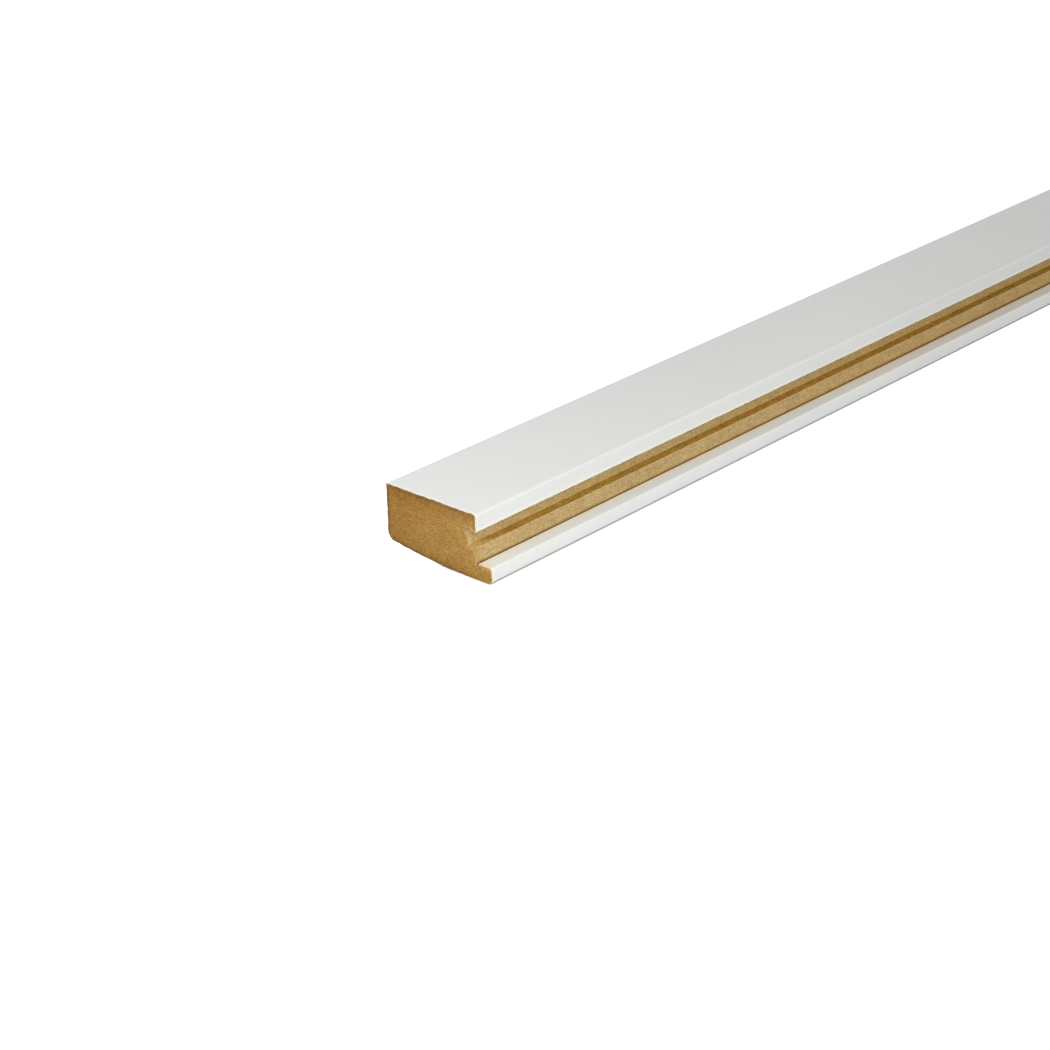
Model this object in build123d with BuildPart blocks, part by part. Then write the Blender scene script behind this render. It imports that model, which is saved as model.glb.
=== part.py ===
from build123d import *
from math import sqrt
import os

# Picture rail: one length of moulded fibreboard, sold by the length and sawn square at both ends.
# It lies on its crowned front with its flat back up, as it was photographed.
# X runs along the rail, -Y is the hook side with the lip, +Y is the plain edge, +Z is the back.
# The origin is under the middle of the rail, level with the highest line of the crowned front.

# Overall sizes, in millimetres
length = 2400.0
width = 40.0            # plain edge to the nose of the lip
thickness = 19.7        # back to the highest line of the crowned front
back_width = 34.2       # the flat back, plain edge to finished hook side

# Crowned front
crown_radius = 207.0
crown_line_inset = 6.8  # its highest line, in from the nose
plain_edge_radius = 2.6

# Lip that the hooks hang on
lip_depth = 14.7        # back to the lip's inner face
nose_relief = 0.4       # the nose is slightly crowned too, by this much
nose_foot_radius = 1.7
lip_corner_radius = 0.5

# Hook side: a finished edge, the groove milled beside it, and a raw step down to the lip
back_arris_radius = 0.8
groove_inset = 5.4      # back to the near side of the groove, the height of the finished edge
groove_width = 4.5
groove_depth = 2.8
step_proud = 0.25       # the raw step stands this far out from the finished edge

# Lines of the section that follow from these
plain_y = width / 2
hook_y = plain_y - back_width
step_y = hook_y - step_proud
nose_y = -width / 2
lip_y = nose_y + nose_relief
crown_line_y = nose_y + crown_line_inset
groove_top_z = thickness - groove_inset
groove_floor_z = groove_top_z - groove_width
lip_z = thickness - lip_depth


def crown_point(y):
    """Point of the crowned front at a place across the rail."""
    return (y, crown_radius - sqrt(crown_radius**2 - (y - crown_line_y) ** 2))


def crown_arc(from_y, to_y):
    """Stretch of the crowned front between two places across the rail."""
    middle_y = (from_y + to_y) / 2
    return ThreePointArc(crown_point(from_y), crown_point(middle_y), crown_point(to_y))


# Corners of the section before they are rounded, from the plain edge round to the crown
back_plain = (plain_y, thickness)
back_hook = (hook_y, thickness)
step_inner = (hook_y, groove_floor_z)
step_outer = (step_y, groove_floor_z)
lip_root = (step_y, lip_z)
lip_corner = (lip_y, lip_z)
nose_foot = crown_point(lip_y)
nose = (nose_y, (lip_z + nose_foot[1]) / 2)
plain_foot = crown_point(plain_y)

# The sharp corner between the back and the plain edge stays as it is
rounded_corners = [
    (plain_foot, plain_edge_radius),
    (nose_foot, nose_foot_radius),
    (lip_corner, lip_corner_radius),
    (back_hook, back_arris_radius),
]

with BuildPart() as picture_rail:
    # The whole outline is moulded in one pass
    with BuildSketch(Plane.YZ.offset(-length / 2)) as section:
        with BuildLine() as outline:
            Polyline(plain_foot, back_plain, back_hook, step_inner, step_outer, lip_root, lip_corner)
            ThreePointArc(lip_corner, nose, nose_foot)
            crown_arc(lip_y, crown_line_y)
            crown_arc(crown_line_y, plain_y)
        make_face()
        for corner, radius in rounded_corners:
            fillet(section.vertices().sort_by_distance(corner)[0], radius)
    extrude(amount=length)

    # The hook groove is milled afterwards, from end to end, and leaves bare board
    groove_z = (groove_top_z + groove_floor_z) / 2
    hook_side = Plane(origin=(0, hook_y, groove_z), x_dir=(1, 0, 0), z_dir=(0, -1, 0))
    with BuildSketch(hook_side) as groove:
        Rectangle(length, groove_width)
    extrude(amount=-groove_depth, mode=Mode.SUBTRACT)

picture_rail.part.label = "picture_rail"

os.makedirs("parts", exist_ok=True)
export_step(picture_rail.part, "parts/picture_rail.step")
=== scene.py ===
import math
import random

import bmesh
import bpy
from mathutils import Euler, Matrix, Vector


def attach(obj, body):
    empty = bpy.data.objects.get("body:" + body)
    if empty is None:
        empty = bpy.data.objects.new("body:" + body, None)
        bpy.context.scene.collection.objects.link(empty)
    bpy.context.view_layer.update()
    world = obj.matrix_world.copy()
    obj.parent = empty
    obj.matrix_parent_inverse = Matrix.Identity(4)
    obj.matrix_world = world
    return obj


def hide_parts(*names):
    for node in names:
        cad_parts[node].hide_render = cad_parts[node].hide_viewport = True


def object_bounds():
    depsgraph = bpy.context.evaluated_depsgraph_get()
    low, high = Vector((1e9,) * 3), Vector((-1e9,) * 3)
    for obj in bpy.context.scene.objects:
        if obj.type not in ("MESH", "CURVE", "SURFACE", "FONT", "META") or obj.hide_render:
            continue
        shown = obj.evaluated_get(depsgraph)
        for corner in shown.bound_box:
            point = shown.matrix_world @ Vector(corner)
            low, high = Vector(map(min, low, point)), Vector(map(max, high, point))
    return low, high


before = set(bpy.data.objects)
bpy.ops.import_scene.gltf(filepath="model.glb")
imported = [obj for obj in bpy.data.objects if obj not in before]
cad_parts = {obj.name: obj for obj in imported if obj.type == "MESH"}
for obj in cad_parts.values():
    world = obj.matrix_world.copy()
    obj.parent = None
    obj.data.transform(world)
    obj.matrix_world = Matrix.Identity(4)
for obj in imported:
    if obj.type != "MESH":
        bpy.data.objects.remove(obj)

# The camera
# It stands at the sawn end, on the hook side, and looks down along the rail. Its lens, direction and
# place were worked out from the rail's own straight lines in the photograph.
cad_low, cad_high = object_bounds()
mm = 0.001
photo_lens = 85.8
photo_azimuth = math.radians(-47.72)
photo_elevation = math.radians(24.81)
photo_roll = math.radians(-1.07)
camera_from_near_corner = Vector((-0.4514, -0.4631, 0.2846))

camera_data = bpy.data.cameras.new("photo_camera")
camera_data.lens = photo_lens
camera_data.clip_start = 10 * mm
camera = bpy.data.objects.new("photo_camera", camera_data)
bpy.context.scene.collection.objects.link(camera)
near_corner = Vector((cad_low.x, cad_high.y, cad_high.z))
level_turn = Euler((math.pi / 2 - photo_elevation, 0, photo_azimuth)).to_matrix()
camera_turn = level_turn @ Matrix.Rotation(photo_roll, 3, "Z")
camera.matrix_world = Matrix.LocRotScale(near_corner + camera_from_near_corner, camera_turn, None)
bpy.context.scene.camera = camera
bpy.context.scene.view_settings.view_transform = "Standard"

# The rail's outline
# The rail is one length of medium density fibreboard that a moulder planes to its whole outline in one
# pass. The outline is drawn round its sawn end, from the sharp corner of the back, by straight runs
# and by turns about the centre of each round.
near_x, far_x = cad_low.x, cad_high.x
nose_y, plain_y = cad_low.y, cad_high.y
crown_z, back_z = cad_low.z, cad_high.z

back_width = 34.2 * mm
crown_radius = 207.0 * mm
crown_line_inset = 6.8 * mm
plain_edge_radius = 2.6 * mm
lip_depth = 14.7 * mm
nose_relief = 0.4 * mm
nose_foot_radius = 1.7 * mm
lip_corner_radius = 0.5 * mm
back_arris_radius = 0.8 * mm
groove_inset = 5.4 * mm
groove_width = 4.5 * mm
groove_depth = 2.8 * mm
step_proud = 0.25 * mm
broken_arris = 0.1 * mm     # where the groove cutter has broken the finish at its mouth
score_width = 0.35 * mm     # the cutter's score at the lip's root
score_depth = 0.8 * mm

hook_y = plain_y - back_width
step_y = hook_y - step_proud
groove_y = hook_y + groove_depth
groove_top_z = back_z - groove_inset
groove_floor_z = groove_top_z - groove_width
lip_z = back_z - lip_depth
crown_centre = (nose_y + crown_line_inset, crown_z + crown_radius)

# The nose is an arc over the lip's thickness, as deep as its relief
half_nose = (lip_z - crown_z) / 2
nose_radius = (half_nose**2 + nose_relief**2) / (2 * nose_relief)
nose_centre = (nose_y + nose_radius, crown_z + half_nose)

# Centres of the small rounds, which touch the lines on both sides of them
lip_round_z = lip_z - lip_corner_radius
lip_round_reach = nose_radius - lip_corner_radius
lip_round_inset = math.sqrt(lip_round_reach**2 - (lip_round_z - nose_centre[1]) ** 2)
lip_round = (nose_centre[0] - lip_round_inset, lip_round_z)
plain_round_y = plain_y - plain_edge_radius
plain_round_reach = crown_radius - plain_edge_radius
plain_round_drop = math.sqrt(plain_round_reach**2 - (plain_round_y - crown_centre[0]) ** 2)
plain_round = (plain_round_y, crown_centre[1] - plain_round_drop)


def round_in_corner(centre_a, radius_a, centre_b, radius_b, radius):
    """Centre of the round that joins two arcs from inside both, on the side away from the back."""
    reach_a, reach_b = radius_a - radius, radius_b - radius
    across = (centre_b[0] - centre_a[0], centre_b[1] - centre_a[1])
    apart = math.hypot(*across)
    along = (apart**2 + reach_a**2 - reach_b**2) / (2 * apart)
    aside = math.sqrt(reach_a**2 - along**2)
    unit = (across[0] / apart, across[1] / apart)
    sides = [
        (centre_a[0] + along * unit[0] - side * unit[1], centre_a[1] + along * unit[1] + side * unit[0])
        for side in (aside, -aside)
    ]
    return min(sides, key=lambda place: place[1])


foot_round = round_in_corner(nose_centre, nose_radius, crown_centre, crown_radius, nose_foot_radius)


def touching_point(centre, radius, other_centre):
    """Where an arc touches a round inside it: on the line through both their centres."""
    reach = math.hypot(other_centre[0] - centre[0], other_centre[1] - centre[1])
    return tuple(c + (o - c) * radius / reach for c, o in zip(centre, other_centre))


outline_step = 0.3 * mm     # from point to point along straight runs and wide arcs
round_step = 0.15 * mm      # from point to point round the small rounds
fewest_steps = 4            # in any turn
tiny = 0.01 * mm            # two places nearer to each other than this are one

bpy.ops.object.select_all(action="DESELECT")
bpy.ops.mesh.primitive_plane_add(size=1 * mm, location=(near_x, plain_y, back_z))
rail = bpy.context.object
rail.name = "moulded_rail"
bpy.ops.object.transform_apply(location=True, rotation=True, scale=True)
bpy.ops.object.mode_set(mode="EDIT")
bpy.ops.mesh.select_all(action="SELECT")
bpy.ops.mesh.merge(type="CENTER")


def pen_place():
    """Where the end of the outline is, across the rail."""
    pen = next(v for v in bmesh.from_edit_mesh(rail.data).verts if v.select)
    return pen.co.y, pen.co.z


def run_to(y, z):
    """Draws the outline straight on to a place across the rail."""
    from_y, from_z = pen_place()
    strides = max(1, round(math.hypot(y - from_y, z - from_z) / outline_step))
    stride = (0, (y - from_y) / strides, (z - from_z) / strides)
    for _ in range(strides):
        bpy.ops.mesh.extrude_vertices_move(TRANSFORM_OT_translate={"value": stride})


def turn_to(centre, end, stride):
    """Draws the outline on round a centre, from +Y towards +Z, as far as the direction of a place."""
    from_y, from_z = pen_place()
    start = math.atan2(from_z - centre[1], from_y - centre[0])
    stop = math.atan2(end[1] - centre[1], end[0] - centre[0])
    angle = (stop - start) % math.tau
    radius = math.hypot(from_y - centre[0], from_z - centre[1])
    steps = max(fewest_steps, round(angle * radius / stride))
    bpy.ops.mesh.spin(steps=steps, angle=angle, center=(near_x, *centre), axis=(-1, 0, 0))


arris_round = (hook_y + back_arris_radius, back_z - back_arris_radius)
run_to(arris_round[0], back_z)
turn_to(arris_round, (hook_y, arris_round[1]), round_step)
run_to(hook_y, groove_top_z + broken_arris)
run_to(hook_y + broken_arris, groove_top_z)
run_to(groove_y, groove_top_z)
run_to(groove_y, groove_floor_z)
run_to(step_y + broken_arris, groove_floor_z)
run_to(step_y, groove_floor_z - broken_arris)
run_to(step_y, lip_z - score_depth)
run_to(step_y - score_width, lip_z - score_depth)
run_to(step_y - score_width, lip_z)
run_to(lip_round[0], lip_z)
turn_to(lip_round, touching_point(nose_centre, nose_radius, lip_round), round_step)
turn_to(nose_centre, touching_point(nose_centre, nose_radius, foot_round), outline_step)
turn_to(foot_round, touching_point(crown_centre, crown_radius, foot_round), round_step)
turn_to(crown_centre, touching_point(crown_centre, crown_radius, plain_round), outline_step)
turn_to(plain_round, (plain_y, plain_round[1]), round_step)
run_to(plain_y, back_z)
bpy.ops.mesh.select_all(action="SELECT")
bpy.ops.mesh.remove_doubles(threshold=tiny)
bpy.ops.mesh.edge_face_add()

# The length
# The moulder feeds the board straight through, so the outline simply runs on to the other end. The
# edge rings near each end leave room for the marks of the saw.
ring_insets = (0.9 * mm, 2.5 * mm)
bpy.ops.mesh.extrude_region_move(TRANSFORM_OT_translate={"value": (far_x - near_x, 0, 0)})
bpy.ops.mesh.select_all(action="SELECT")
bpy.ops.mesh.normals_make_consistent(inside=False)
for ring_inset in ring_insets:
    for cut_x in (near_x + ring_inset, far_x - ring_inset):
        bpy.ops.mesh.select_all(action="SELECT")
        bpy.ops.mesh.bisect(plane_co=(cut_x, 0, 0), plane_no=(1, 0, 0))

# What is finished and what is bare
# The board is sprayed white all round. The groove, the step and the score are cut through the finish
# afterwards, and both ends are sawn, so these show bare board.
lacquer = bpy.data.materials.new("white_lacquer")
sawn_board = bpy.data.materials.new("sawn_board")
milled_board = bpy.data.materials.new("milled_board")
rubbed_and_shaded_board = bpy.data.materials.new("rubbed_and_shaded_board")
coats = [lacquer, sawn_board, milled_board, rubbed_and_shaded_board]
for material in coats:
    material.use_nodes = True
    rail.data.materials.append(material)

shortest_side = 0.45 * mm   # between the deepest chip in a sawn end and the nearest edge ring


def is_side(face):
    """True for a face that runs along the rail, not one that lies in a sawn end."""
    along = [v.co.x for v in face.verts]
    return max(along) - min(along) > shortest_side


shape = bmesh.from_edit_mesh(rail.data)
for face in shape.faces:
    y, z = face.calc_center_median().yz
    in_cut = step_y - score_width - tiny < y < groove_y + tiny
    in_cut = in_cut and lip_z - score_depth - tiny < z < groove_top_z + broken_arris
    if not is_side(face):
        coat = sawn_board
    elif in_cut and (abs(z - groove_floor_z) < tiny or z < lip_z):
        coat = rubbed_and_shaded_board
    elif in_cut:
        coat = milled_board
    else:
        coat = lacquer
    face.material_index = coats.index(coat)
bmesh.update_edit_mesh(rail.data)

# The sawn ends
# Both ends are cross-cut square by a saw once the finish is dry, and the blade knocks small chips out
# of its hard edge. A narrow ring of faces round each end takes the chips.
chip_ring_width = 0.15 * mm
chip_count = 22
chip_reach = (0.5 * mm, 1.1 * mm)
chip_depth = (0.05 * mm, 0.2 * mm)
chip_pushes = (1.0, 0.5)    # each is pushed in twice, first over all its reach, then over half of it
crisp_angle = math.radians(25)


def pick(kind, wanted):
    """Selects, in edit mode, only the vertices or faces that a test accepts."""
    bpy.ops.mesh.select_all(action="DESELECT")
    shape = bmesh.from_edit_mesh(rail.data)
    for part in getattr(shape, kind):
        if wanted(part):
            part.select_set(True)
    shape.select_flush_mode()
    bmesh.update_edit_mesh(rail.data)


def is_finished_rim(vertex):
    """True on the arris between a sawn end and a finished side."""
    sides = [face for face in vertex.link_faces if is_side(face)]
    finished = all(face.material_index == coats.index(lacquer) for face in sides)
    return 0 < len(sides) < len(vertex.link_faces) and finished


for end_x, inward in ((near_x, 1), (far_x, -1)):
    bpy.ops.mesh.select_mode(type="FACE")
    pick("faces", lambda face: not is_side(face) and abs(face.calc_center_median().x - end_x) < tiny)
    bpy.ops.mesh.inset(thickness=chip_ring_width, depth=0)

    bpy.ops.mesh.select_mode(type="VERT")
    shape = bmesh.from_edit_mesh(rail.data)
    rim = [v.co.copy() for v in shape.verts if abs(v.co.x - end_x) < tiny and is_finished_rim(v)]
    chance = random.Random(round(end_x))
    chips = []
    while len(chips) < chip_count:
        place = chance.choice(rim)
        if all((place - other).length > 2 * chip_reach[1] for other in chips):
            chips.append(place)
    for place in chips:
        reach, depth = chance.uniform(*chip_reach), chance.uniform(*chip_depth)
        for share in chip_pushes:
            pick(
                "verts",
                lambda v: is_finished_rim(v)
                and abs(v.co.x - end_x) < chip_depth[1] + tiny
                and math.hypot(v.co.y - place.y, v.co.z - place.z) < reach * share,
            )
            bpy.ops.transform.translate(value=(inward * depth / len(chip_pushes), 0, 0))

bpy.ops.object.mode_set(mode="OBJECT")
bpy.ops.object.shade_smooth_by_angle(angle=crisp_angle)
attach(rail, "root")
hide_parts("picture_rail")

# Bare board
# Medium density fibreboard: wood fibres pressed flat in the board's plane, so that they show as short
# dashes on every cut across it. The saw leaves them browner than the groove cutter does.


def feed(tree, value, socket):
    """Links a socket to another node's, or sets it to a plain value."""
    if isinstance(value, bpy.types.NodeSocket):
        tree.links.new(value, socket)
    elif value is not None:
        socket.default_value = value


def lay(tree, kind, *inputs, **settings):
    """Adds a node with its settings, and feeds its first sockets."""
    node = tree.nodes.new(kind)
    for name, value in settings.items():
        setattr(node, name, value)
    for socket, value in zip(node.inputs, inputs):
        feed(tree, value, socket)
    return node


def reckon(tree, operation, *inputs, **settings):
    """One sum on numbers, and its result."""
    return lay(tree, "ShaderNodeMath", *inputs, operation=operation, **settings).outputs[0]


def ramp(tree, value, start, end):
    """0 where a value is at its start, 1 at its end, even between them and held past them."""
    slope = 1 / (end - start)
    return reckon(tree, "MULTIPLY_ADD", value, slope, -start * slope, use_clamp=True)


def noise(tree, place, scale, detail, roughness=0.5):
    """Smooth noise round 0.5 at a place."""
    return lay(tree, "ShaderNodeTexNoise", place, None, scale, detail, roughness).outputs[0]


def between(tree, factor, first, second, **settings):
    """Colour between two others. A mix node keeps its colours behind its numbers and vectors."""
    node = lay(tree, "ShaderNodeMix", factor, data_type="RGBA", **settings)
    feed(tree, first, node.inputs[6])
    feed(tree, second, node.inputs[7])
    return node.outputs[2]


def shade_of(tree, colour, tint):
    """Colour darkened or tinted by another."""
    return between(tree, 1.0, colour, tint, blend_type="MULTIPLY")


def start_effect(name, inputs, outputs):
    """A shader node group with named inputs and outputs, as the group, what it is given and makes."""
    group = bpy.data.node_groups.new(name, "ShaderNodeTree")
    for label, kind in inputs:
        group.interface.new_socket(label, in_out="INPUT", socket_type="NodeSocket" + kind)
    for label, kind in outputs:
        group.interface.new_socket(label, in_out="OUTPUT", socket_type="NodeSocket" + kind)
    return group, group.nodes.new("NodeGroupInput").outputs, group.nodes.new("NodeGroupOutput").inputs


def use_effect(tree, group, inputs):
    """Places a node group in a material and feeds its named inputs."""
    node = tree.nodes.new("ShaderNodeGroup")
    node.node_tree = group
    for name, value in inputs.items():
        feed(tree, value, node.inputs[name])
    return node.outputs


def bump(tree, height, depth, normal=None):
    """Normal of a surface raised by a height from 0 to 1 over a depth."""
    node = lay(tree, "ShaderNodeBump", 1.0, depth)
    feed(tree, height, node.inputs["Height"])
    feed(tree, normal, node.inputs["Normal"])
    return node.outputs["Normal"]


def start_material(material):
    """A material's nodes and shader, the place on the rail in metres, and its three coordinates."""
    tree = material.node_tree
    place = tree.nodes.new("ShaderNodeTexCoord").outputs["Object"]
    return tree, tree.nodes["Principled BSDF"], place, lay(tree, "ShaderNodeSeparateXYZ", place).outputs


fibres, given, made = start_effect(
    "Board Fibres",
    [
        ("Place", "Vector"),
        ("Dark Fibre", "Color"),
        ("Pale Fibre", "Color"),
        ("Fibre Length", "Float"),
        ("Fibre Width", "Float"),
        ("Contrast", "Float"),
    ],
    [("Colour", "Color"), ("Height", "Float")],
)
fibre_size = lay(
    fibres, "ShaderNodeCombineXYZ", given["Fibre Length"], given["Fibre Length"], given["Fibre Width"]
).outputs[0]
fibre_place = lay(
    fibres, "ShaderNodeVectorMath", given["Place"], fibre_size, operation="DIVIDE"
).outputs[0]
single = noise(fibres, fibre_place, 1.0, 2, 0.6)
bundled = noise(fibres, fibre_place, 0.31, 1)
clouded = noise(fibres, given["Place"], 160.0, 2)
dark_chip = ramp(fibres, noise(fibres, fibre_place, 0.42, 1), 0.7, 0.9)
grain = reckon(fibres, "MULTIPLY_ADD", single, 2.6, -1.3)
grain = reckon(fibres, "ADD", grain, reckon(fibres, "MULTIPLY_ADD", bundled, 0.7, -0.35))
grain = reckon(fibres, "ADD", grain, reckon(fibres, "MULTIPLY_ADD", clouded, 0.3, -0.15))
grain = reckon(fibres, "SUBTRACT", grain, dark_chip)
grain = reckon(fibres, "MULTIPLY_ADD", grain, given["Contrast"], 0.5, use_clamp=True)
feed(fibres, between(fibres, grain, given["Dark Fibre"], given["Pale Fibre"]), made["Colour"])
half_bundled = reckon(fibres, "MULTIPLY", bundled, 0.5)
feed(fibres, reckon(fibres, "MULTIPLY_ADD", grain, 0.5, half_bundled), made["Height"])

# A ragged edge is solid over a margin beside an arris, and then breaks up over a reach.
ragged_edge, given, made = start_effect(
    "Ragged Edge",
    [
        ("Place", "Vector"),
        ("Distance", "Float"),
        ("Margin", "Float"),
        ("Reach", "Float"),
        ("Flake Size", "Float"),
    ],
    [("Mask", "Float")],
)
flake_size = lay(ragged_edge, "ShaderNodeCombineXYZ", *[given["Flake Size"]] * 3).outputs[0]
flake_place = lay(
    ragged_edge, "ShaderNodeVectorMath", given["Place"], flake_size, operation="DIVIDE"
).outputs[0]
flakes = reckon(ragged_edge, "MULTIPLY_ADD", noise(ragged_edge, flake_place, 1.0, 1), 4.0, -1.5)
past_margin = reckon(ragged_edge, "SUBTRACT", given["Distance"], given["Margin"])
thinned = reckon(ragged_edge, "DIVIDE", past_margin, given["Reach"])
flakes = reckon(ragged_edge, "SUBTRACT", flakes, thinned)
feed(ragged_edge, reckon(ragged_edge, "MULTIPLY_ADD", flakes, 3.0, 0.5, use_clamp=True), made["Mask"])


def least(tree, *values):
    """The least of several numbers."""
    found = values[0]
    for value in values[1:]:
        found = reckon(tree, "MINIMUM", found, value)
    return found


def off_if(tree, value, operation, coordinate, bound):
    """A distance, or a metre more than it where a coordinate passes a bound."""
    return reckon(tree, "ADD", value, reckon(tree, operation, coordinate, bound))


def distance_to_cut(tree, where, inner_y, low_z, high_z):
    """How far a place on a sawn end is from a cut that is open towards -Y."""
    deep = reckon(tree, "MAXIMUM", reckon(tree, "SUBTRACT", where["Y"], inner_y), 0.0)
    over = reckon(tree, "SUBTRACT", where["Z"], high_z)
    under = reckon(tree, "SUBTRACT", low_z, where["Z"])
    aside = reckon(tree, "MAXIMUM", reckon(tree, "MAXIMUM", over, under), 0.0)
    square = reckon(tree, "MULTIPLY", aside, aside)
    return reckon(tree, "SQRT", reckon(tree, "MULTIPLY_ADD", deep, deep, square))


thick_finish = 0.1 * mm


def distance_to_finish(tree, where):
    """How far a place on a sawn end is from the finish round it: on the back, the two edges, the
    crowned front, the lip's inner face and its nose, where the finish is thicker."""
    to_back = reckon(tree, "SUBTRACT", back_z, where["Z"])
    to_plain_edge = reckon(tree, "SUBTRACT", plain_y, where["Y"])
    section_place = lay(tree, "ShaderNodeCombineXYZ", 0.0, where["Y"], where["Z"]).outputs[0]
    from_centre = lay(
        tree, "ShaderNodeVectorMath", section_place, (0, *crown_centre), operation="DISTANCE"
    ).outputs["Value"]
    to_crown = reckon(tree, "SUBTRACT", crown_radius, from_centre)
    to_hook_edge = reckon(tree, "SUBTRACT", where["Y"], hook_y)
    to_hook_edge = off_if(tree, to_hook_edge, "LESS_THAN", where["Z"], groove_top_z)
    to_lip_face = reckon(tree, "SUBTRACT", lip_z + thick_finish, where["Z"])
    to_lip_face = off_if(tree, to_lip_face, "GREATER_THAN", where["Y"], step_y)
    to_nose = reckon(tree, "SUBTRACT", where["Y"], nose_y + thick_finish)
    return least(tree, to_back, to_plain_edge, to_crown, to_hook_edge, to_lip_face, to_nose)


# On a sawn end the board is packed tighter and browner towards its two faces, and scorched where the
# blade came in. Paler fluff stands along the groove and step. The finish shows as a thin white line
# round the brown, and has soaked in and darkened the board beside it, least at the nose.
core_tint = (1.06, 1.06, 1.06, 1)
packed_tint = (0.76, 0.655, 0.42, 1)
soaked_shade = (0.73, 0.75, 0.85, 1)
fluff_colour = (0.72, 0.48, 0.2, 1)
film_colour = (0.86, 0.81, 0.7, 1)

tree, shader, place, where = start_material(sawn_board)
sawn = use_effect(tree, fibres, {
    "Place": place,
    "Dark Fibre": (0.246, 0.117, 0.023, 1),
    "Pale Fibre": (0.619, 0.375, 0.101, 1),
    "Fibre Length": 0.85 * mm,
    "Fibre Width": 0.19 * mm,
    "Contrast": 0.82,
})
from_middle = reckon(tree, "ABSOLUTE", reckon(tree, "SUBTRACT", where["Z"], back_z / 2))
packed = ramp(tree, from_middle, 4.4 * mm, 8.4 * mm)
across = ramp(tree, where["Y"], -15 * mm, 21 * mm)
cloudy = reckon(tree, "MULTIPLY_ADD", noise(tree, place, 90.0, 2), 0.5, 0.55)
scorched = reckon(tree, "MULTIPLY", across, cloudy)
browner = reckon(tree, "MULTIPLY_ADD", packed, 0.5, scorched, use_clamp=True)
tint = between(tree, browner, core_tint, packed_tint)
to_finish = distance_to_finish(tree, where)
soaked = ramp(tree, to_finish, 1.4 * mm, 0.8 * mm)
off_nose = ramp(tree, where["Y"], nose_y, nose_y + 12 * mm)
soaked = reckon(tree, "MULTIPLY", soaked, off_nose)
tint = between(tree, soaked, tint, shade_of(tree, tint, soaked_shade))
brown = shade_of(tree, sawn["Colour"], tint)
to_groove = distance_to_cut(tree, where, groove_y, groove_floor_z, groove_top_z)
to_step = distance_to_cut(tree, where, step_y, lip_z, groove_floor_z)
fluff = use_effect(tree, ragged_edge, {
    "Place": place,
    "Distance": least(tree, to_groove, to_step),
    "Margin": 0.0,
    "Reach": 1.2 * mm,
    "Flake Size": 1.0 * mm,
})["Mask"]
colour = between(tree, reckon(tree, "MULTIPLY", fluff, 0.55), brown, fluff_colour)
film = use_effect(tree, ragged_edge, {
    "Place": place,
    "Distance": to_finish,
    "Margin": 0.0,
    "Reach": 0.1 * mm,
    "Flake Size": 1.3 * mm,
})["Mask"]
in_chip = reckon(tree, "LESS_THAN", reckon(tree, "ABSOLUTE", where["X"]), far_x - 2 * tiny)
film = reckon(tree, "MULTIPLY", film, reckon(tree, "SUBTRACT", 1.0, in_chip))
feed(tree, between(tree, film, colour, film_colour), shader.inputs["Base Color"])
rough = reckon(tree, "MULTIPLY_ADD", sawn["Height"], -0.15, 0.9)
feed(tree, reckon(tree, "MULTIPLY_ADD", film, -0.3, rough), shader.inputs["Roughness"])
feed(tree, bump(tree, sawn["Height"], 0.03 * mm), shader.inputs["Normal"])
shader.inputs["Specular IOR Level"].default_value = 0.3


def distance_from_saw(tree, where):
    """How far a place is along the rail from the nearer sawn end."""
    return reckon(tree, "SUBTRACT", far_x, reckon(tree, "ABSOLUTE", where["X"]))


def further_along_rail(tree, from_saw):
    """How far a place is along the rail from 0 within 84 mm of the nearer sawn end to 1 beyond 204 mm."""
    return ramp(tree, from_saw, 84 * mm, 204 * mm)


# The back of the groove and the step are pale and furry from the cutter; the pale fur along the step's
# top arris is partly a painted highlight. The groove's back carries painted light and shade: bright and
# warm low down, greyer half way up and brown at its top, where the overhang shades it. The step carries
# painted shade at its foot, in the corner above the lip.
untinted = (1, 1, 1, 1)
groove_low_tint = (1.14, 1.17, 1.03, 1)
# painted shade under the groove's overhang, greyer half way up and brown at the top
groove_mid_painted_shade = (1.07, 1.2, 1.38, 1)
groove_by_saw_tint = (1.12, 1.1, 0.94, 1)
groove_top_painted_shade = (0.82, 0.72, 0.5, 1)
# painted shade in the corner at the step's foot
step_foot_painted_shade = (0.68, 0.57, 0.42, 1)
milled_further_on_tint = (1.03, 0.985, 0.88, 1)
# pale fur, partly a painted highlight along the step's top arris
fur_and_highlight_colour = (0.8, 0.57, 0.3, 1)

tree, shader, place, where = start_material(milled_board)
in_groove = reckon(tree, "GREATER_THAN", where["Y"], groove_y - tiny)
milled = use_effect(tree, fibres, {
    "Place": place,
    "Dark Fibre": (0.34, 0.215, 0.07, 1),
    "Pale Fibre": (0.72, 0.53, 0.255, 1),
    "Fibre Length": 0.6 * mm,
    "Fibre Width": 0.26 * mm,
    "Contrast": reckon(tree, "MULTIPLY_ADD", in_groove, 0.2, 1.0),
})
up_groove = reckon(tree, "SUBTRACT", where["Z"], groove_floor_z)
# painted shade under the overhang: greyer half way up the groove's back, brown at its top
half_way = ramp(tree, up_groove, 1.2 * mm, 2.2 * mm)
at_top = ramp(tree, up_groove, 2.8 * mm, 3.6 * mm)
tint = between(tree, half_way, groove_low_tint, groove_mid_painted_shade)
from_saw = distance_from_saw(tree, where)
past_cut = ramp(tree, from_saw, 1.5 * mm, 4.5 * mm)
tint = between(tree, past_cut, groove_by_saw_tint, tint)
tint = between(tree, at_top, tint, groove_top_painted_shade)
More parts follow.
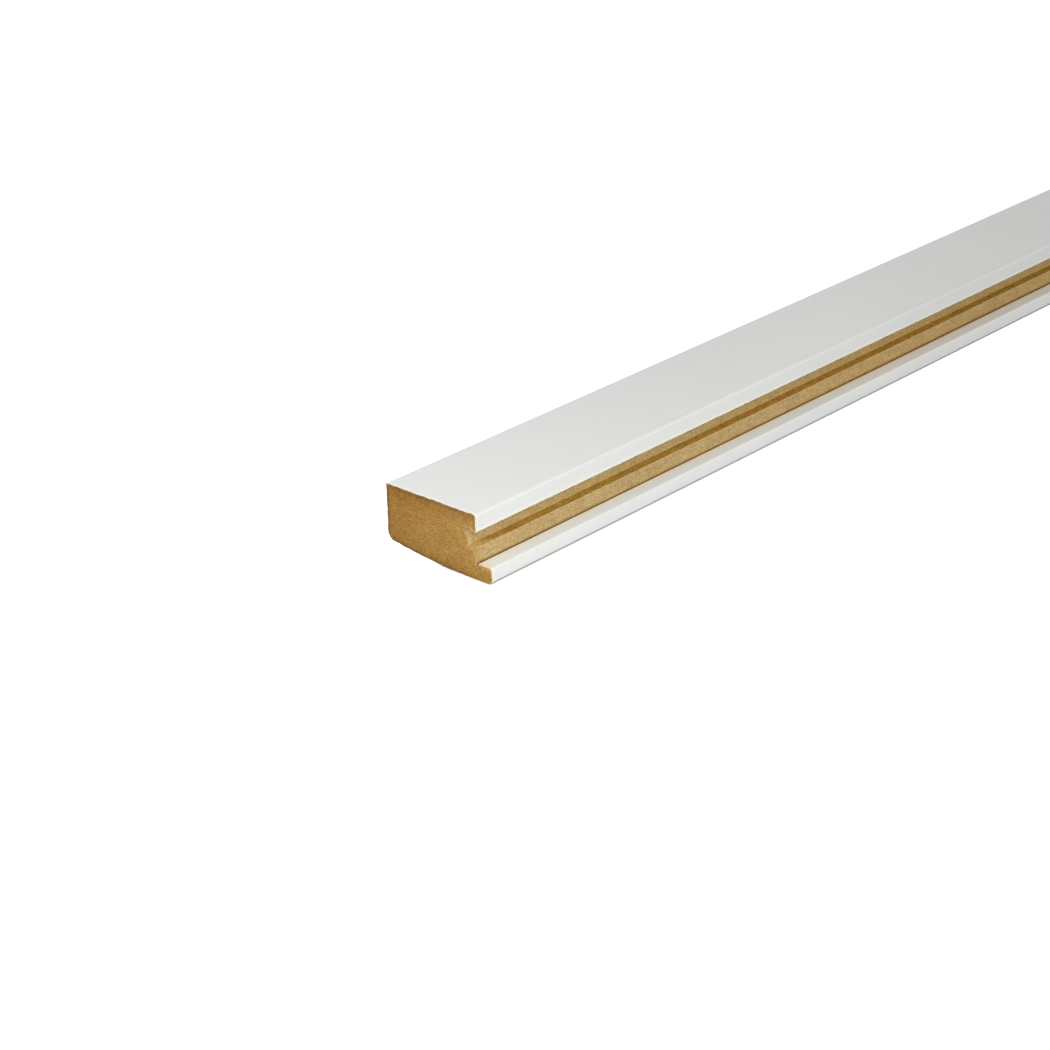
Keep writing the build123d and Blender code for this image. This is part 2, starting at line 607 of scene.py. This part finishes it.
# painted shade in the corner at the step's foot, just above the lip
at_foot = ramp(tree, where["Z"], lip_z + 0.7 * mm, lip_z + 0.2 * mm)
step_tint = between(tree, at_foot, untinted, step_foot_painted_shade)
tint = between(tree, in_groove, step_tint, tint)
browned = between(tree, further_along_rail(tree, from_saw), untinted, milled_further_on_tint)
pale = shade_of(tree, shade_of(tree, milled["Colour"], tint), browned)
# pale fur along the step's top arris and near the sawn ends, partly a painted highlight
from_arris = reckon(tree, "SUBTRACT", groove_floor_z + 0.1 * mm, where["Z"])
from_arris = off_if(tree, from_arris, "GREATER_THAN", where["Z"], groove_floor_z + tiny)
from_end = reckon(tree, "MULTIPLY", from_saw, 0.2)
from_end = off_if(tree, from_end, "LESS_THAN", where["Y"], groove_y - tiny)
fur_and_highlight = use_effect(tree, ragged_edge, {
    "Place": place,
    "Distance": least(tree, from_arris, from_end),
    "Margin": 0.1 * mm,
    "Reach": 0.3 * mm,
    "Flake Size": 0.8 * mm,
})["Mask"]
fur_and_highlight = reckon(tree, "MULTIPLY", fur_and_highlight, 0.6)
feed(tree, between(tree, fur_and_highlight, pale, fur_and_highlight_colour), shader.inputs["Base Color"])
feed(tree, reckon(tree, "MULTIPLY_ADD", milled["Height"], -0.1, 0.98), shader.inputs["Roughness"])
feed(tree, bump(tree, milled["Height"], 0.05 * mm), shader.inputs["Normal"])
shader.inputs["Specular IOR Level"].default_value = 0.25

# The groove's floor lies with the fibres and the cutter rubs it smooth; its dark colour is painted shade
# under the groove's overhang. It is paler and furry near its ends, longest beside the step where the
# groove opens, and that is partly painted light. The score at the lip's root is darker still, painted
# shade in the narrow cut.
# painted shade: the floor's dark colours stand for the shade under the groove's overhang
smooth_shaded_dark, smooth_shaded_pale = (0.245, 0.111, 0.012, 1), (0.575, 0.348, 0.066, 1)
furry_dark, furry_pale = (0.36, 0.21, 0.05, 1), (0.64, 0.43, 0.15, 1)
rubbed_further_on_tint = (0.97, 0.94, 0.7, 1)
# painted shade inside the score at the lip's root
score_painted_shade = (0.14, 0.07, 0.014, 1)

tree, shader, place, where = start_material(rubbed_and_shaded_board)
from_saw = distance_from_saw(tree, where)
from_wall = reckon(tree, "SUBTRACT", groove_y, where["Y"])
# paler and furry towards the groove's open ends and its mouth, partly painted light
furry_and_lit = use_effect(tree, ragged_edge, {
    "Place": place,
    "Distance": reckon(tree, "MULTIPLY_ADD", from_wall, -2.6, from_saw),
    "Margin": 1.5 * mm,
    "Reach": 3.0 * mm,
    "Flake Size": 3.0 * mm,
})["Mask"]
rubbed = use_effect(tree, fibres, {
    "Place": place,
    "Dark Fibre": between(tree, furry_and_lit, smooth_shaded_dark, furry_dark),
    "Pale Fibre": between(tree, furry_and_lit, smooth_shaded_pale, furry_pale),
    "Fibre Length": 0.8 * mm,
    "Fibre Width": 0.8 * mm,
    "Contrast": 0.8,
})
# painted shade inside the score
in_score = reckon(tree, "LESS_THAN", where["Z"], lip_z + 0.1 * mm)
browned = between(tree, further_along_rail(tree, from_saw), untinted, rubbed_further_on_tint)
brown = shade_of(tree, rubbed["Colour"], browned)
score_shaded = between(tree, in_score, brown, score_painted_shade)
feed(tree, score_shaded, shader.inputs["Base Color"])
feed(tree, reckon(tree, "MULTIPLY_ADD", rubbed["Height"], -0.2, 0.8), shader.inputs["Roughness"])
feed(tree, bump(tree, rubbed["Height"], 0.02 * mm), shader.inputs["Normal"])
shader.inputs["Specular IOR Level"].default_value = 0.3

# White finish
# A sprayed satin lacquer over the sealed board, faintly pebbled and with fine draw lines along the rail.
# It is flaked where the saw and the cutter broke through it, cream right at the saw, and paler along
# those cut edges as a painted highlight; it is torn at the lip's sawn edge. In the corner behind the lip
# it carries dust and painted warm bounce light from the brown step, warmer further along the rail, and
# further along a painted brown shade right at the lip's root.
cooler_white = (0.775, 0.787, 0.76, 1)
clearer_white = (0.825, 0.837, 0.81, 1)
# painted highlights along the cut edges of the finish
highlight_by_cutter = (0.92, 0.89, 0.78, 1)
highlight_by_saw = (0.9, 0.89, 0.83, 1)
cream_at_saw = (0.87, 0.78, 0.62, 1)
torn_cream = (0.93, 0.74, 0.45, 1)
# dust and painted warm bounce light from the brown step
dust_and_bounce_by_saw = (0.88, 0.76, 0.51, 1)
dust_and_bounce_further_on = (0.98, 0.79, 0.54, 1)
# painted shade at the lip's root
root_shade_brown = (0.5, 0.33, 0.11, 1)
draw_line_scale = (4, 900, 900)     # long along the rail and fine across it

tree, shader, place, where = start_material(lacquer)
from_saw = distance_from_saw(tree, where)
saw_flakes = use_effect(tree, ragged_edge, {
    "Place": place,
    "Distance": from_saw,
    "Margin": -0.55 * mm,
    "Reach": 0.6 * mm,
    "Flake Size": 1.6 * mm,
})["Mask"]
from_cutter = reckon(tree, "SUBTRACT", where["Z"], groove_top_z)
from_cutter = off_if(tree, from_cutter, "LESS_THAN", where["Z"], groove_top_z - tiny)
cutter_flakes = use_effect(tree, ragged_edge, {
    "Place": place,
    "Distance": from_cutter,
    "Margin": 0.08 * mm,
    "Reach": 0.12 * mm,
    "Flake Size": 1.2 * mm,
})["Mask"]
flaked = reckon(tree, "MAXIMUM", saw_flakes, cutter_flakes)
under = use_effect(tree, fibres, {
    "Place": place,
    "Dark Fibre": (0.30, 0.165, 0.05, 1),
    "Pale Fibre": (0.62, 0.44, 0.2, 1),
    "Fibre Length": 0.5 * mm,
    "Fibre Width": 0.2 * mm,
    "Contrast": 0.9,
})
white = between(tree, noise(tree, place, 22.0, 3), cooler_white, clearer_white)
# painted highlight along the finish's edges by the cutter and the saw
by_cutter = ramp(tree, from_cutter, 1.5 * mm, 0.4 * mm)
white = between(tree, by_cutter, white, highlight_by_cutter)
by_saw = ramp(tree, from_saw, 1.5 * mm, 0.4 * mm)
white = between(tree, by_saw, white, highlight_by_saw)
at_saw = ramp(tree, from_saw, 0.8 * mm, 0.2 * mm)
white = between(tree, at_saw, white, cream_at_saw)
out_from_root = reckon(tree, "SUBTRACT", step_y - score_width, where["Y"])
# dust and painted warm bounce light from the brown step, beside the lip's root
dust_and_bounce = ramp(tree, out_from_root, 1.8 * mm, 0.0)
off_lip_face = reckon(tree, "ABSOLUTE", reckon(tree, "SUBTRACT", where["Z"], lip_z))
on_lip_face = reckon(tree, "LESS_THAN", off_lip_face, 0.1 * mm)
dust_and_bounce = reckon(tree, "MULTIPLY", dust_and_bounce, on_lip_face)
specks = ramp(tree, noise(tree, place, 1400.0, 2, 0.6), 0.33, 0.67)
dust_and_bounce = reckon(tree, "MULTIPLY", reckon(tree, "MULTIPLY", dust_and_bounce, specks), 1.2, use_clamp=True)
further_on = further_along_rail(tree, from_saw)
dust_and_bounce_colour = between(tree, further_on, dust_and_bounce_by_saw, dust_and_bounce_further_on)
white = between(tree, dust_and_bounce, white, dust_and_bounce_colour)
# painted shade in the corner at the lip's root, further along the rail
root_shade = ramp(tree, out_from_root, 0.75 * mm, 0.0)
root_shade = reckon(tree, "MULTIPLY", root_shade, reckon(tree, "MULTIPLY", on_lip_face, further_on))
white = between(tree, root_shade, white, root_shade_brown)
torn = reckon(tree, "MULTIPLY", by_saw, on_lip_face)
white = between(tree, torn, white, torn_cream)
feed(tree, between(tree, flaked, white, under["Colour"]), shader.inputs["Base Color"])
pebbles = noise(tree, place, 650.0, 2)
drawn = lay(tree, "ShaderNodeMapping", place)
drawn.inputs["Scale"].default_value = draw_line_scale
draw_lines = noise(tree, drawn.outputs[0], 1.0, 2)
satin = reckon(tree, "MULTIPLY_ADD", pebbles, 0.08, reckon(tree, "MULTIPLY_ADD", draw_lines, 0.12, 0.27))
dull = reckon(tree, "MULTIPLY", reckon(tree, "MAXIMUM", flaked, dust_and_bounce), 0.9)
feed(tree, reckon(tree, "MAXIMUM", satin, dull), shader.inputs["Roughness"])
relief = reckon(tree, "MULTIPLY_ADD", draw_lines, 0.25, pebbles)
relief = bump(tree, relief, 0.004 * mm)
finish = bump(tree, reckon(tree, "SUBTRACT", 1.0, flaked), 0.1 * mm, relief)
feed(tree, finish, shader.inputs["Normal"])

# Floor and light
# A pale studio floor that looks white, with the rail's own shadow close under it. Soft boxes stand round
# the near end, long ones stand beside the rest of the rail and hang over it, and one lights the far end.
shadow_reach = 0.7 * mm     # how far out from under the rail its shadow shows on the floor
closed_in = 0.286           # the openness at which the floor has lost all its glow
sky_level = 0.2


def seen_directly(tree):
    """1 for what the camera sees, by itself or in metal or glass, and 0 for what lights the rail."""
    rays = tree.nodes.new("ShaderNodeLightPath").outputs
    seen = reckon(tree, "MAXIMUM", rays["Is Camera Ray"], rays["Is Glossy Ray"])
    return reckon(tree, "MAXIMUM", seen, rays["Is Transmission Ray"])


floor_white = bpy.data.materials.new("studio_floor")
floor_white.use_nodes = True
tree = floor_white.node_tree
tree.nodes.clear()
seen = seen_directly(tree)
openness = lay(tree, "ShaderNodeAmbientOcclusion", samples=16)
openness.inputs["Distance"].default_value = shadow_reach
lit = ramp(tree, openness.outputs["AO"], closed_in, 1.0)
matt = lay(tree, "ShaderNodeBsdfDiffuse", (0.66, 0.66, 0.66, 1)).outputs[0]
glow = lay(tree, "ShaderNodeEmission", (1, 1, 1, 1), lit).outputs[0]
shown = lay(tree, "ShaderNodeAddShader", matt, glow).outputs[0]
lay(tree, "ShaderNodeOutputMaterial", lay(tree, "ShaderNodeMixShader", seen, matt, shown).outputs[0])

bpy.ops.object.select_all(action="DESELECT")
bpy.ops.mesh.primitive_plane_add(size=60)
floor = bpy.context.object
floor.name = "studio_floor"
floor.data.materials.append(floor_white)

world = bpy.data.worlds.new("studio")
world.use_nodes = True
bpy.context.scene.world = world
tree = world.node_tree
seen = seen_directly(tree)
background = tree.nodes["Background"]
background.inputs["Color"].default_value = (1, 1, 1, 1)
feed(tree, reckon(tree, "MULTIPLY_ADD", seen, 1 - sky_level, sky_level), background.inputs["Strength"])


def soft_box(name, place, aim, size, power):
    """A lamp behind a diffuser, hung at a place and aimed at another."""
    lamp = bpy.data.lights.new(name, "AREA")
    lamp.shape = "RECTANGLE"
    lamp.size, lamp.size_y = size
    lamp.energy = power
    box = bpy.data.objects.new(name, lamp)
    bpy.context.scene.collection.objects.link(box)
    turn = (Vector(aim) - Vector(place)).to_track_quat("-Z", "Y")
    box.matrix_world = Matrix.LocRotScale(Vector(place), turn, None)
    box.visible_camera = False


half_height = 10 * mm
near_end = (near_x, 0, half_height)
soft_box("low_front_box", (near_x - 0.1, -0.43, 0.25), near_end, (0.3, 0.3), 0.91)
soft_box("high_front_box", (near_x - 0.1, -0.36, 0.36), near_end, (0.35, 0.35), 0.74)
soft_box("near_end_box", (near_x - 0.33, -0.041, 0.292), near_end, (0.25, 0.25), 1.01)
soft_box("near_back_box", (near_x + 0.06, 0.42, 0.14), near_end, (0.3, 0.2), 0.66)
soft_box("long_front_box", (near_x + 1.55, -0.6, 0.15), (near_x + 1.55, 0, half_height), (1.7, 0.2), 2.95)
soft_box("long_top_box", (near_x + 1.5, -0.15, 0.45), (near_x + 1.5, 0, 0), (1.5, 0.3), 1.90)
soft_box("low_back_box", (near_x + 1.6, 0.5, 0.1), (near_x + 1.6, 0, half_height), (1.5, 0.15), 1.25)
soft_box("far_end_box", (far_x + 0.4, 0.05, 0.35), (far_x, 0, half_height), (0.3, 0.3), 1.20)
